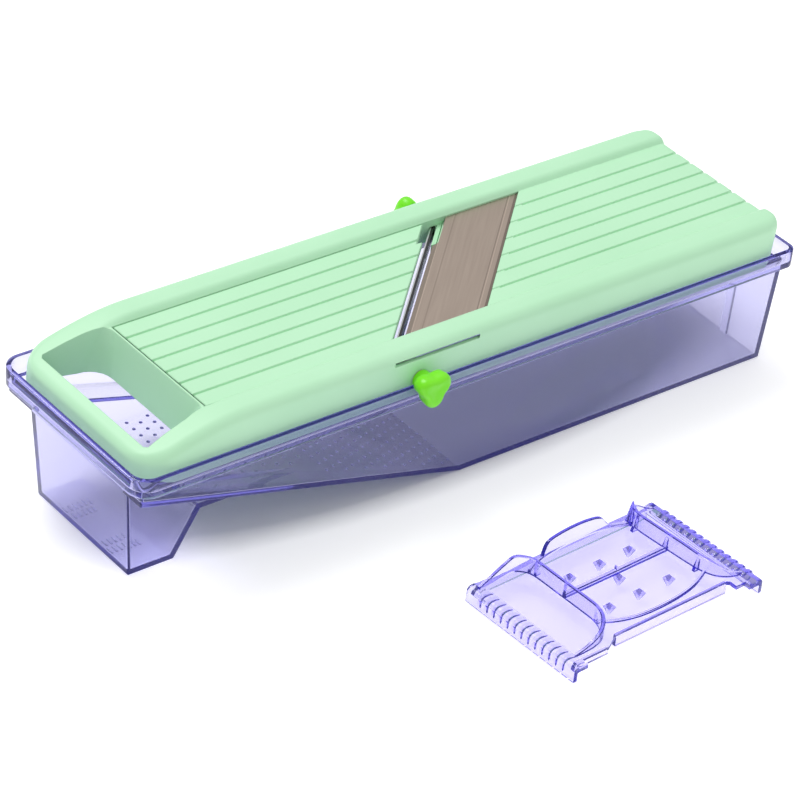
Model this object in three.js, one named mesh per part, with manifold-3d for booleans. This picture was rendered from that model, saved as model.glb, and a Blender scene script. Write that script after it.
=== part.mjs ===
// A mandoline slicer resting in its clear catch tray, with its finger guard lying beside it.
// Millimetres, +Z up. X runs along the slicer away from the handle, and -Y is the near side.
// The origin is the middle of the flat tray floor that the assembly stands on.
import * as THREE from "three";
import { mergeVertices } from "three/addons/utils/BufferGeometryUtils.js";
import { ConvexGeometry } from "three/addons/geometries/ConvexGeometry.js";
import Module from "manifold-3d";

const wasm = await Module();
wasm.setup();

// ---- Driving dimensions: tray. Every x below is measured from the handle end of the tray rim.
const gap = 0.3; // clearance between pieces that touch
const rimEndClearance = 3.3; // between the slicer body's ends and the rim's inner faces
const rimSideClearance = 0.9; // and along its sides
const rimHeight = 60; // top of the rim above the table
const rimBand = 8.6; // height of the wide band that holds the slicer
const rimCornerHandle = 9.5;
const rimCornerRear = 5;
const trayWall = 2.2;
const hopperTopInset = 3.6; // the hopper walls stand this far inside the band
const hopperDraft = 3.6; // and lean in by this much more at the floor
const hopperCorner = 3;
const slopeDrop = 5.8; // the sloping floor starts this far under the band
const floorStart = 174.7; // where the sloping floor meets the flat floor
const floorEndInset = 6.2; // flat floor's end, short of the rim's far end
const footStart = 10.3;
const footEnd = 33.2;
const footHalf = 33.3;
const footLean = 6; // the foot's end wall leans out by this much
const footSideDraft = 2.4;
const footRampTop = 44.5; // where the foot's sloping wall meets its shelf
const footShelfHeight = 22;
const footCorner = 2.6;
const endRibOffset = 21.5;
const endRibWidth = 4.5;

// ---- Driving dimensions: slicer body
const bodyLength = 344;
const bodyWidth = 97.8;
const bodyCornerHandle = 15;
const bodyCornerRear = 9;
const bodyHeight = 15.3; // rail tops above the tray rim
const bodyWall = 2.7;
const railWidth = 15.5;
const railRound = 5;
const deckDrop = 2.6; // deck surface below the rail tops
const deckThickness = 2.8;
const handleRise = 4.8; // handle bar above the tray rim
const handleBar = 6.2;
const rampEnd = 58; // rails reach full height here
const rearLean = 4;
const railWebDepth = 8; // inner rail walls reach this far below the deck

const grooveCount = 6;
const groovePitch = 9.57;
const grooveWidth = 1.6;
const grooveDepth = 0.8;

// ---- Driving dimensions: adjusting plate and its hinge
const plateStart = 43.4; // hinge-side edge of the adjusting plate
const plateThickness = 2.8;
const plateSideGap = 0.45;
const plateLevelGap = 0.3; // plate surface below the rear deck at rest
const pinRadius = 1.5;
const barrelRadius = 3.3;
const pinFromEdge = 4.2;
const crossWall = 4.6;
const plateRibOffset = 13;
const plateRibDepth = 4.4;

// ---- Driving dimensions: blade. Offsets are along X from the blade line.
const bladeMiddle = 184.6; // where the blade line crosses the centre line
const bladeSkew = 1.072; // the blade line moves this far along X for each mm of Y
const bladeCoverWidth = 40.7; // flat part of the blade plate, along X
const bladeBevel = 3.3; // ground bevel in front of it, along X
const bladeThickness = 1.1;
const bladeDrop = 0.8; // blade surface below the deck
const bladeSeatThickness = 3.4;
const throatEdge = 9.7; // free edge of the adjusting plate, ahead of the blade line
const stripOffset = 8.6; // leading face of the comb strip, ahead of the blade line
const stripWidth = 2.4;
const stripDrop = 3.9; // comb strip top below the deck
const stripDepth = 6.6;
const earThickness = 1.6;
const postLength = 13;

// ---- Driving dimensions: clamp screws and thickness adjuster
const clampHeight = 1.0; // clamp axis above the tray rim
const clampShiftNear = 4.4; // clamp axes beyond the strip's ends, along X
const clampShiftFar = 2;
const clampScrewRadius = 2.4;
const clampInsertRadius = 4;
const clampKnobRadius = 8.8;
const clampKnobLength = 8;
const clampHubRadius = 4;
const bridgeX = 112;
const bridgeWidth = 18;
const bridgeThickness = 4;
const bridgeScrewRadius = 1.6;
const adjusterRadius = 3;
const adjusterKnobRadius = 13;
const adjusterKnobLength = 10;
const springGap = 10; // length of the spring at rest
const springWire = 0.9;
const springTurns = 4;

// ---- Driving dimensions: finger guard
const guardLength = 107.4;
const guardWidth = 65.6;
const guardSkirt = 7; // height of its plate above the table
const guardPlate = 2;
const guardWallHeight = 8;
const guardWallThickness = 1.8;
const guardCentre = new THREE.Vector2(174.2, -148.4);
const guardTurn = THREE.MathUtils.degToRad(3.05);
const guardLeftWall = -24.3;
const guardRightWall = 34.4;
const guardRibCount = 12;
const guardLip = 4; // thickness of the hooked lips
const guardNearInset = 8; // near edge between the grips
const guardBend = 11; // bend radius at the ends of the hand walls

// ---- Values worked out from them
const bodyStart = trayWall + rimEndClearance; // handle end of the body
const trayLength = bodyLength + 2 * bodyStart;
const trayWidth = bodyWidth + 2 * (trayWall + rimSideClearance);
const floorMiddle = (floorStart + trayLength - floorEndInset) / 2;
const ledgeTop = rimHeight - rimBand + trayWall;
const skirtBottom = ledgeTop + gap;
const railTop = rimHeight + bodyHeight;
const deckTop = railTop - deckDrop;
const deckBottom = deckTop - deckThickness;
const bodyHalf = bodyWidth / 2;
const bodyEnd = bodyStart + bodyLength;
const channelOuter = bodyHalf - bodyWall;
const deckHalf = bodyHalf - railWidth;
const channelInner = deckHalf + 2.4;
const webBottom = deckBottom - railWebDepth;
const plateTop = deckTop - plateLevelGap;
const plateHalf = deckHalf - plateSideGap;
const pinX = plateStart + pinFromEdge;
const pinZ = plateTop - plateThickness - barrelRadius + 0.6;
const bladeTop = deckTop - bladeDrop;
const bladeBottom = bladeTop - bladeThickness;
const clampZ = rimHeight + clampHeight;
const stripTop = deckTop - stripDrop;
const bladeLine = (y) => bladeMiddle + bladeSkew * y;
const clampX = (side) =>
  bladeLine(side * channelInner) - stripOffset + stripWidth / 2 + (side < 0 ? clampShiftNear : clampShiftFar);
const bladeTurn = Math.atan2(1, bladeSkew);
const bladeNearEnd = channelOuter - 0.6;
const bladeFarEnd = channelInner + 0.6;
const earFace = channelInner + gap;
const clampTip = earFace + earThickness + gap;
const knobInner = trayWidth / 2 + 0.8;
const knobOuter = knobInner + clampKnobLength;
const clampHead = clampScrewRadius + 1.2;
const bridgeTop = webBottom - gap;
const bridgeBottom = bridgeTop - bridgeThickness;
const bridgeScrewY = (channelInner + channelOuter) / 2;
const adjusterTop = bridgeBottom - springGap;
const adjusterBottom = adjusterTop - adjusterKnobLength;

// ---- Materials, one per piece so that each can be given its own finish
function finish(color, roughness, metalness = 0, opacity = 1) {
  return () =>
    new THREE.MeshStandardMaterial({ color, roughness, metalness, opacity, transparent: opacity < 1 });
}
const mintPlastic = finish(0xbdeec8, 0.4);
const limePlastic = finish(0x7fea10, 0.35);
const clearPlastic = finish(0xb9b4f0, 0.08, 0, 0.4);
const brushedSteel = finish(0xa09284, 0.32, 1);
const brightSteel = finish(0xc9ccd0, 0.22, 1);
const brass = finish(0xc9a557, 0.3, 1);
const nylon = finish(0xf2f1ea, 0.5);

// ---- Solids
function solidOf(geometry) {
  const bare = geometry.index ? geometry.toNonIndexed() : geometry.clone();
  bare.deleteAttribute("normal");
  bare.deleteAttribute("uv");
  const merged = mergeVertices(bare, 1e-4);
  return new wasm.Manifold(
    new wasm.Mesh({
      numProp: 3,
      vertProperties: merged.attributes.position.array,
      triVerts: new Uint32Array(merged.index.array),
    }),
  );
}

function geometryOf(solid) {
  const mesh = solid.getMesh();
  const geometry = new THREE.BufferGeometry();
  geometry.setAttribute("position", new THREE.BufferAttribute(mesh.vertProperties, 3));
  geometry.setIndex(new THREE.BufferAttribute(mesh.triVerts, 1));
  geometry.computeVertexNormals();
  return geometry;
}

const joined = (solids) => solids.reduce((all, solid) => all.add(solid));
const cut = (solid, cutters) => cutters.reduce((left, cutter) => left.subtract(cutter), solid);

function box(x0, x1, y0, y1, z0, z1) {
  const geometry = new THREE.BoxGeometry(x1 - x0, y1 - y0, z1 - z0);
  return solidOf(geometry.translate((x0 + x1) / 2, (y0 + y1) / 2, (z0 + z1) / 2));
}

function extrusion(shape, depth, curveSegments = 5) {
  return new THREE.ExtrudeGeometry(shape, { depth, bevelEnabled: false, curveSegments });
}

// A shape drawn in X and Y, from z0 up to z1.
function upright(shape, z0, z1, curveSegments) {
  return solidOf(extrusion(shape, z1 - z0, curveSegments).translate(0, 0, z0));
}

// A shape drawn in Y and Z, from x0 to x1.
function lengthwise(shape, x0, x1, curveSegments) {
  const turn = new THREE.Matrix4().makeBasis(
    new THREE.Vector3(0, 1, 0), new THREE.Vector3(0, 0, 1), new THREE.Vector3(1, 0, 0));
  return solidOf(extrusion(shape, x1 - x0, curveSegments).applyMatrix4(turn).translate(x0, 0, 0));
}

// A shape drawn in X and Z, from y0 to y1.
function crosswise(shape, y0, y1, curveSegments) {
  const turn = new THREE.Matrix4().makeBasis(
    new THREE.Vector3(1, 0, 0), new THREE.Vector3(0, 0, 1), new THREE.Vector3(0, -1, 0));
  return solidOf(extrusion(shape, y1 - y0, curveSegments).applyMatrix4(turn).translate(0, y1, 0));
}

function polygon(points) {
  return new THREE.Shape(points.map(([a, b]) => new THREE.Vector2(a, b)));
}

function roundedRectangle(x0, x1, y0, y1, ...radii) {
  const [r0, r1] = [radii[0], radii[1] ?? radii[0]]; // at the x0 end and at the x1 end
  const shape = new THREE.Shape();
  shape.moveTo(x0 + r0, y0);
  shape.lineTo(x1 - r1, y0);
  shape.absarc(x1 - r1, y0 + r1, r1, -Math.PI / 2, 0);
  shape.absarc(x1 - r1, y1 - r1, r1, 0, Math.PI / 2);
  shape.absarc(x0 + r0, y1 - r0, r0, Math.PI / 2, Math.PI);
  shape.absarc(x0 + r0, y0 + r0, r0, Math.PI, Math.PI * 1.5);
  return shape;
}

// The hull of flat rounded rectangles, each {x0, x1, half, corner, z}.
function drafted(levels) {
  const points = levels.flatMap(({ x0, x1, half, corner, z }) =>
    roundedRectangle(x0, x1, -half, half, corner).getPoints(4).map((p) => new THREE.Vector3(p.x, p.y, z)));
  return solidOf(new ConvexGeometry(points));
}

function cylinder(radius, z0, z1, x = 0, y = 0, sides = 28) {
  const geometry = new THREE.CylinderGeometry(radius, radius, z1 - z0, sides);
  return solidOf(geometry.rotateX(Math.PI / 2).translate(x, y, (z0 + z1) / 2));
}

function cylinderAcross(radius, y0, y1, x, z, sides = 28) {
  const geometry = new THREE.CylinderGeometry(radius, radius, y1 - y0, sides);
  return solidOf(geometry.translate(x, (y0 + y1) / 2, z));
}

// A band that follows the blade line between two offsets along X.
function bladeBand(from, to, y0, y1, z0, z1) {
  return upright(
    polygon([
      [bladeLine(y0) + from, y0],
      [bladeLine(y0) + to, y0],
      [bladeLine(y1) + to, y1],
      [bladeLine(y1) + from, y1],
    ]), z0, z1);
}

const slicer = new THREE.Group();
slicer.position.x = -floorMiddle;

function addPiece(name, solid, material, parent = slicer) {
  const mesh = new THREE.Mesh(geometryOf(solid), material());
  mesh.name = name;
  parent.add(mesh);
  return mesh;
}

// ---- Tray: a band that holds the slicer, a hopper with a sloping floor, and a foot
function traySpace(inset) {
  const bandBottom = rimHeight - rimBand + inset;
  const top = inset ? rimHeight + 1 : rimHeight;
  const hopperHalf = trayWidth / 2 - hopperTopInset - inset;
  const slopeStart = rimHeight - rimBand - slopeDrop;
  const slopeRise = (inset * Math.hypot(slopeStart, floorStart)) / floorStart;
  const farEnd = trayLength - hopperTopInset - inset;
  const corner = hopperCorner - inset;
  const footRound = footCorner - inset;
  const band = upright(
    roundedRectangle(inset, trayLength - inset, inset - trayWidth / 2, trayWidth / 2 - inset,
      rimCornerHandle - inset, rimCornerRear - inset),
    bandBottom, top);
  const hopper = drafted([
    { x0: hopperTopInset + inset, x1: farEnd, half: hopperHalf, corner, z: bandBottom + 0.2 },
    { x0: hopperTopInset + inset, x1: hopperTopInset + 20, half: hopperHalf - 0.2, corner,
      z: slopeStart + slopeRise },
    { x0: floorStart, x1: trayLength - floorEndInset - inset, half: hopperHalf - hopperDraft, corner,
      z: inset },
  ]);
  const foot = drafted([
    { x0: footStart + inset, x1: footEnd - inset / 2, half: footHalf - inset, corner: footRound, z: inset },
    { x0: footStart - footLean * 0.45 + inset, x1: footRampTop - inset / 2, half: footHalf + 1 - inset,
      corner: footRound, z: footShelfHeight },
    { x0: footStart - footLean + inset, x1: footRampTop + 10, half: footHalf + footSideDraft - inset,
      corner: footRound, z: bandBottom + 0.2 },
  ]);
  const shelf = drafted([
    { x0: footRampTop - 10, x1: floorStart / 2, half: footHalf + 1 - inset, corner: footRound,
      z: footShelfHeight + inset },
    { x0: footRampTop - 10, x1: floorStart / 2, half: footHalf + 2 - inset, corner: footRound, z: bandBottom },
  ]);
  return joined([band, hopper, foot, shelf]);
}

function makeTray() {
  const shell = traySpace(0).subtract(traySpace(trayWall));
  const endInner = trayLength - floorEndInset - trayWall;
  const endLean = floorEndInset - hopperTopInset;
  const ribProfile = polygon([
    [endInner - 1.2, trayWall / 2],
    [endInner + 0.5, trayWall / 2],
    [endInner + endLean * 0.9 + 0.5, rimHeight - rimBand - 2],
    [endInner + endLean * 0.9 - 1.2, rimHeight - rimBand - 2],
  ]);
  const ribs = [-1, 1].map((side) =>
    crosswise(ribProfile, side * endRibOffset - endRibWidth / 2, side * endRibOffset + endRibWidth / 2));
  const notches = [-1, 1].map((side) => {
    const reach = clampHubRadius + 0.8;
    const across = side * (trayWidth / 2 - trayWall / 2);
    const slot = box(clampX(side) - reach, clampX(side) + reach, across - 3, across + 3, clampZ, rimHeight + 2);
    return slot.add(cylinderAcross(reach, across - 3, across + 3, clampX(side), clampZ));
  });
  return cut(joined([shell, ...ribs]), notches);
}

// ---- Body: cross-section with two rails, a grooved deck and a skirt
function groovePositions() {
  return Array.from({ length: grooveCount }, (_, i) => (i - (grooveCount - 1) / 2) * groovePitch);
}

function grooveCutters(x0, x1, surface) {
  return groovePositions().map((y) =>
    lengthwise(
      polygon([
        [y - grooveWidth / 2 - 0.3, surface + 0.3],
        [y, surface - grooveDepth],
        [y + grooveWidth / 2 + 0.3, surface + 0.3],
      ]), x0, x1));
}

function bodySection() {
  const shape = new THREE.Shape();
  const crest = bodyHalf - 0.8;
  shape.moveTo(-bodyHalf, skirtBottom);
  shape.lineTo(bodyHalf, skirtBottom);
  shape.lineTo(crest, railTop - railRound);
  shape.absarc(crest - railRound, railTop - railRound, railRound, 0, Math.PI / 2);
  shape.lineTo(deckHalf + 3.4, railTop);
  shape.quadraticCurveTo(deckHalf + 1.6, railTop, deckHalf + 0.9, railTop - deckDrop * 0.45);
  shape.lineTo(deckHalf, deckTop);
  shape.lineTo(-deckHalf, deckTop);
  shape.lineTo(-deckHalf - 0.9, railTop - deckDrop * 0.45);
  shape.quadraticCurveTo(-deckHalf - 1.6, railTop, -deckHalf - 3.4, railTop);
  shape.lineTo(-crest + railRound, railTop);
  shape.absarc(-crest + railRound, railTop - railRound, railRound, Math.PI / 2, Math.PI);
  return shape;
}

function bodySideProfile() {
  const shape = new THREE.Shape();
  const handleTop = rimHeight + handleRise;
  shape.moveTo(bodyStart, skirtBottom - 1);
  shape.lineTo(bodyEnd - rearLean, skirtBottom - 1);
  shape.lineTo(bodyEnd, railTop - 3);
  shape.quadraticCurveTo(bodyEnd, railTop + 0.1, bodyEnd - 4, railTop + 0.1);
  shape.lineTo(rampEnd, railTop + 0.1);
  shape.bezierCurveTo(rampEnd - 16, railTop, bodyStart + 24, handleTop + 1.5, bodyStart + 5, handleTop);
  shape.quadraticCurveTo(bodyStart, handleTop - 0.5, bodyStart, handleTop - 4);
  return shape;
}

function handleOpening() {
  const left = bodyStart + handleBar;
  const right = plateStart - crossWall;
  const shape = new THREE.Shape();
  shape.moveTo(left + 2, -deckHalf - 4.5);
  shape.quadraticCurveTo(right - 6, -deckHalf - 3.5, right, -deckHalf + 3);
  shape.lineTo(right, deckHalf - 3);
  shape.quadraticCurveTo(right - 6, deckHalf + 3.5, left + 2, deckHalf + 4.5);
  shape.lineTo(left, deckHalf + 2.5);
  shape.lineTo(left, -deckHalf - 2.5);
  return upright(shape, skirtBottom - 2, railTop + 2, 6);
}

function makeBody() {
  const outline = roundedRectangle(bodyStart, bodyEnd, -bodyHalf, bodyHalf, bodyCornerHandle, bodyCornerRear);
  const outer = upright(outline, skirtBottom, railTop + 1, 5)
    .intersect(lengthwise(bodySection(), bodyStart - 1, bodyEnd + 1))
    .intersect(crosswise(bodySideProfile(), -bodyHalf - 1, bodyHalf + 1, 10));
  const cavityStart = plateStart - 1;
  const cavityEnd = bodyEnd - rearLean - bodyWall;
  const belowDeck = box(cavityStart, cavityEnd, -channelOuter, channelOuter, skirtBottom - 2, webBottom);
  const middle = box(plateStart, cavityEnd, -deckHalf, deckHalf, webBottom - 1, deckBottom);
  const channels = [-1, 1].map((side) => {
    const [inner, outerY] = [side * channelInner, side * channelOuter];
    const level = railTop - bodyWall;
    return box(cavityStart + 9, cavityEnd, Math.min(inner, outerY), Math.max(inner, outerY),
      webBottom - 1, level);
  });
  const plateWindow = upright(
    polygon([
      [plateStart, -deckHalf],
      [bladeLine(-deckHalf) - 1, -deckHalf],
      [bladeLine(deckHalf) - 1, deckHalf],
      [plateStart, deckHalf],
    ]), skirtBottom - 1, railTop + 1);
  const hollow = cut(outer, [
    handleOpening(), belowDeck, middle, ...channels, plateWindow,
    ...grooveCutters(bladeMiddle, bodyEnd + 1, deckTop),
  ]);

  // The seat under the blade plate, the post beside its notch, and the clamp and bridge bosses
  const seat = bladeBand(-1, bladeCoverWidth + 5, -deckHalf - 1, deckHalf + 1,
    bladeBottom - gap - bladeSeatThickness, deckTop - 0.4);
  const post = bladeBand(-stripOffset + stripWidth + 0.5, -0.4, deckHalf - postLength, deckHalf + 1,
    webBottom, bladeTop);
  const clampBosses = [-1, 1].map((side) => {
    const y = side * channelOuter;
    return cylinderAcross(clampInsertRadius + 1.8, Math.min(y, y - side * 5), Math.max(y, y - side * 5),
      clampX(side), clampZ, 20);
  });
  const bridgeBosses = [-1, 1].map((side) =>
    cylinder(4.2, bridgeTop + gap, railTop - 1, bridgeX, side * bridgeScrewY, 20));
  const solid = joined([hollow, seat, post, ...clampBosses, ...bridgeBosses]);

  // Clearances for the blade plate, the comb strip, the clamps, the pin and the bridge screws
  const bladePath = bladeBand(-bladeBevel - 0.4, bladeCoverWidth + 0.4, -bodyHalf - 1, bladeFarEnd + gap,
    bladeBottom - gap, bladeTop + gap);
  const bladeView = bladeBand(-bladeBevel - 0.4, bladeCoverWidth + 0.4, -deckHalf, deckHalf,
    bladeBottom - gap, railTop + 1);
  const stripSlot = bladeBand(-stripOffset - 0.4, -stripOffset + stripWidth + 0.4, -channelInner - 1,
    channelInner + 1, webBottom - 2, stripTop + gap);
  const clampHoles = [-1, 1].map((side) =>
    cylinderAcross(clampInsertRadius + 0.3, side > 0 ? channelOuter - 6 : -bodyHalf - 2,
      side > 0 ? bodyHalf + 2 : -channelOuter + 6, clampX(side), clampZ));
  const pinHole = cylinderAcross(pinRadius + gap, -channelOuter, channelOuter, pinX, pinZ, 20);
  const bridgeHoles = [-1, 1].map((side) =>
    cylinder(bridgeScrewRadius + gap, bridgeTop - 1, bridgeTop + 8.6, bridgeX, side * bridgeScrewY, 20));
  const postKept = post.intersect(solid);
  return cut(solid, [bladePath.subtract(postKept), bladeView.subtract(postKept), stripSlot, ...clampHoles,
    pinHole, ...bridgeHoles]);
}

// ---- Adjusting plate: grooved, with a hinge barrel and two stiffening ribs
function makeAdjustingPlate() {
  const start = plateStart + 0.4;
  const bottom = plateTop - plateThickness;
  const slab = upright(
    polygon([
      [start, -plateHalf],
      [bladeLine(-plateHalf) - throatEdge, -plateHalf],
      [bladeLine(plateHalf) - throatEdge, plateHalf],
      [start, plateHalf],
    ]), bottom, plateTop);
  const barrel = cylinderAcross(barrelRadius, -plateHalf, plateHalf, pinX, pinZ, 24);
  const ribs = [-1, 1].map((side) =>
    box(pinX, bladeLine(-plateHalf) - throatEdge - 4, side * plateRibOffset - 0.8, side * plateRibOffset + 0.8,
      bottom - plateRibDepth, bottom + 1));
  const solid = joined([slab, barrel, ...ribs]);
  const pinBore = cylinderAcross(pinRadius + gap, -plateHalf - 1, plateHalf + 1, pinX, pinZ, 20);
  return cut(solid, [pinBore, ...grooveCutters(start - 1, trayLength, plateTop)]);
}

// ---- Blade plate: flat steel with a ground bevel, notched at its far corner
function makeMainBlade() {
  const flat = bladeBand(-bladeBevel, bladeCoverWidth, -bladeNearEnd, bladeFarEnd, bladeBottom, bladeTop);
  const slope = new THREE.BoxGeometry(4 * bodyWidth, 2 * bladeBevel, 4);
  const acrossBevel = bladeBevel * Math.sin(bladeTurn);
  const lean = Math.atan2(bladeThickness * 0.8, acrossBevel);
  slope.translate(0, bladeBevel, 2).rotateX(-lean);
  slope.rotateZ(bladeTurn).translate(bladeMiddle, 0, bladeTop);
  const notch = bladeBand(-bladeBevel - 1, 0, deckHalf - postLength - 2, bladeFarEnd + 1,
    bladeBottom - 1, bladeTop + 1);
  return cut(flat, [solidOf(slope), notch]);
}

// ---- Comb strip: stands in the throat, with an ear at each end for its clamp screw
function makeCombStrip() {
  const earMiddle = earFace + earThickness / 2;
  const strip = bladeBand(-stripOffset, -stripOffset + stripWidth, -earMiddle, earMiddle,
    stripTop - stripDepth, stripTop);
  const ears = [-1, 1].map((side) => {
    const [inner, outer] = [side * earFace, side * (earFace + earThickness)];
    return box(clampX(side) - 8, clampX(side) + 6, Math.min(inner, outer), Math.max(inner, outer),
      clampZ - 4, stripTop);
  });
  return joined([strip, ...ears]);
}

// ---- Knobs: three rounded lobes round a hub, drawn in the plane across their screw
function lobedShape(radius, lobeUp = true) {
  const shape = new THREE.Shape();
  const steps = 48;
  for (let i = 0; i < steps; i += 1) {
    const angle = (i / steps) * Math.PI * 2;
    const reach = radius * (0.83 + (lobeUp ? -0.17 : 0.17) * Math.sin(3 * angle));
    const at = [reach * Math.cos(angle), reach * Math.sin(angle)];
    if (i === 0) shape.moveTo(...at);
    else shape.lineTo(...at);
  }
  return shape;
}

function addClamp(side) {
  const name = side < 0 ? "near" : "far";
  const x = clampX(side);
  const between = (radius, a, b, sides) =>
    cylinderAcross(radius, Math.min(side * a, side * b), Math.max(side * a, side * b), x, clampZ, sides);
  const insert = between(clampInsertRadius, channelOuter - 5, bodyHalf - 0.3, 24)
    .subtract(between(clampScrewRadius + gap, channelOuter - 6, bodyHalf + 1, 24));
  addPiece(`${name}_clamp_insert`, insert, brass);

  const screw = joined([
    between(clampScrewRadius, clampTip, knobOuter - 3, 24),
    between(clampHead, knobInner + 1.5, knobOuter - 3, 24),
  ]);
  addPiece(`${name}_clamp_screw`, screw, brightSteel);

  const lobes = crosswise(lobedShape(clampKnobRadius, side > 0), 0, clampKnobLength);
  const lobesAt = lobes.translate([x, side < 0 ? -knobOuter : knobInner, clampZ]);
  const hub = between(clampHubRadius, bodyHalf + 0.5, knobInner + 0.5, 24);
  const socket = joined([
    between(clampScrewRadius + gap, bodyHalf, knobOuter - 3 + gap, 24),
    between(clampHead + gap, knobInner + 1.5 - gap, knobOuter - 3 + gap, 24),
  ]);
  addPiece(`${name}_clamp_knob`, cut(joined([lobesAt, hub]), [socket]), limePlastic);
}

// ---- Thickness adjuster: a screw through a bridge under the adjusting plate
function addThicknessAdjuster() {
  const half = bridgeWidth / 2;
  const plank = upright(
    roundedRectangle(bridgeX - half, bridgeX + half, -channelOuter + 0.6, channelOuter - 0.6, 3),
    bridgeBottom, bridgeTop);
  const nutHole = cylinder(adjusterRadius + 2.3, bridgeBottom - 1, bridgeTop + 1, bridgeX, 0);
  const screwHoles = [-1, 1].map((side) =>
    cylinder(bridgeScrewRadius + gap, bridgeBottom - 1, bridgeTop + 1, bridgeX, side * bridgeScrewY, 20));
  addPiece("thickness_bridge", cut(plank, [nutHole, ...screwHoles]), mintPlastic);

  for (const side of [-1, 1]) {
    const y = side * bridgeScrewY;
    const head = cylinder(3, bridgeBottom - gap - 1.8, bridgeBottom - gap, bridgeX, y, 20);
    const shank = cylinder(bridgeScrewRadius, bridgeBottom - gap - 0.5, bridgeTop + 8, bridgeX, y, 20);
    const slot = box(bridgeX - 4, bridgeX + 4, y - 0.4, y + 0.4, bridgeBottom - 3, bridgeBottom - 1.3);
    addPiece(`${side < 0 ? "near" : "far"}_bridge_screw`, cut(joined([head, shank]), [slot]), brightSteel);
  }

  const nut = joined([
    cylinder(adjusterRadius + 2, bridgeBottom, bridgeTop + gap + 0.5, bridgeX, 0),
    cylinder(adjusterRadius + 3.4, bridgeTop + gap, bridgeTop + gap + 1, bridgeX, 0),
  ]).subtract(cylinder(adjusterRadius + gap, bridgeBottom - 1, bridgeTop + 3, bridgeX, 0));
  addPiece("thickness_nut", nut, brass);

  const capBottom = plateTop - plateThickness - gap - 1.6;
  const clipBottom = capBottom - 1.6;
  const shaft = cylinder(adjusterRadius, adjusterBottom + 2, capBottom - gap, bridgeX, 0)
    .subtract(cylinder(adjusterRadius + 1, clipBottom - 0.1, clipBottom + 1, bridgeX, 0)
      .subtract(cylinder(adjusterRadius - 0.8, clipBottom - 1, clipBottom + 2, bridgeX, 0)));
  const hexagon = cylinder(adjusterRadius + 1.6, adjusterBottom + 2, adjusterTop - 2, bridgeX, 0, 6);
  addPiece("thickness_screw", joined([shaft, hexagon]), brightSteel);

  const clip = cylinder(adjusterRadius + 1.6, clipBottom + 0.05, clipBottom + 0.85, bridgeX, 0)
    .subtract(cylinder(adjusterRadius - 0.5, clipBottom - 1, clipBottom + 2, bridgeX, 0))
    .subtract(box(bridgeX, bridgeX + 8, -1.4, 1.4, clipBottom - 1, clipBottom + 2));
  addPiece("thickness_clip", clip, brightSteel);

  addPiece("thickness_thrust_cap",
    cylinder(adjusterRadius + 1, capBottom, capBottom + 1.6, bridgeX, 0), nylon);

  const lobes = upright(lobedShape(adjusterKnobRadius), adjusterBottom, adjusterTop).translate([bridgeX, 0, 0]);
  const socket = joined([
    cylinder(adjusterRadius + gap, adjusterBottom + 2 - gap, adjusterTop + 1, bridgeX, 0),
    cylinder(adjusterRadius + 1.6 + gap, adjusterBottom + 2 - gap, adjusterTop - 2 + gap, bridgeX, 0, 6),
  ]);
  addPiece("thickness_knob", cut(lobes, [socket]), limePlastic);

  const washer = cylinder(adjusterRadius + 3.4, bridgeBottom - gap - 0.8, bridgeBottom - gap, bridgeX, 0)
    .subtract(cylinder(adjusterRadius + gap, bridgeBottom - 3, bridgeBottom + 1, bridgeX, 0));
  addPiece("spring_washer", washer, brightSteel);

  addPiece("thickness_spring", makeSpring(), brightSteel);
}

function makeSpring() {
  const bottom = adjusterTop + gap + springWire;
  const top = bridgeBottom - gap - 0.8 - gap - springWire;
  const coil = new THREE.Curve();
  coil.getPoint = (t) => {
    const angle = t * springTurns * Math.PI * 2;
    const radius = adjusterRadius + gap + springWire + 0.5;
    return new THREE.Vector3(radius * Math.cos(angle), radius * Math.sin(angle), bottom + t * (top - bottom));
  };
  const wire = new THREE.Shape();
  wire.absarc(0, 0, springWire, 0, Math.PI * 2);
  const geometry = new THREE.ExtrudeGeometry(wire, {
    steps: springTurns * 14, curveSegments: 3, bevelEnabled: false, extrudePath: coil,
  });
  return solidOf(geometry.translate(bridgeX, 0, 0));
}

// ---- Finger guard: a plate with hooked, ribbed ends, hand walls, a palm ring and prongs
function guardOutline() {
  const [halfX, halfY] = [guardLength / 2, guardWidth / 2];
  const [lip, near] = [halfX - guardLip, -halfY + guardNearInset];
  return polygon([
    [-lip, -halfY], [-lip + 4.5, -halfY], [-lip + 4.5, -halfY + 4.5], [-lip + 20, -halfY + 4.5],
    [-lip + 29, near], [lip - 9.5, near], [lip - 9.5, -halfY + 3], [lip - 4, -halfY + 3],
    [lip - 4, -halfY], [lip, -halfY], [lip, halfY], [-lip, halfY],
  ]);
}

// An upright band along a shallow arc that spans from x0 to x1, bulging by rise from the line at y.
function archWall(x0, x1, y, rise, z0, z1, start = 0, end = 1) {
  const half = (x1 - x0) / 2;
  const radius = (half * half + rise * rise) / (2 * Math.abs(rise));
  const reach = Math.asin(half / radius);
  const steps = 12;
  const at = (share, grow) => {
    const angle = reach * (2 * share - 1);
    const r = radius + grow;
    const across = r * Math.cos(angle) - radius + Math.abs(rise);
    return [(x0 + x1) / 2 + r * Math.sin(angle), y + Math.sign(rise) * across];
  };
  const share = (i) => start + ((end - start) * i) / steps;
  const outer = Array.from({ length: steps + 1 }, (_, i) => at(share(i), guardWallThickness / 2));
  const inner = Array.from({ length: steps + 1 }, (_, i) => at(share(steps - i), -guardWallThickness / 2));
  return upright(polygon([...outer, ...inner]), z0, z1);
}

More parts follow.
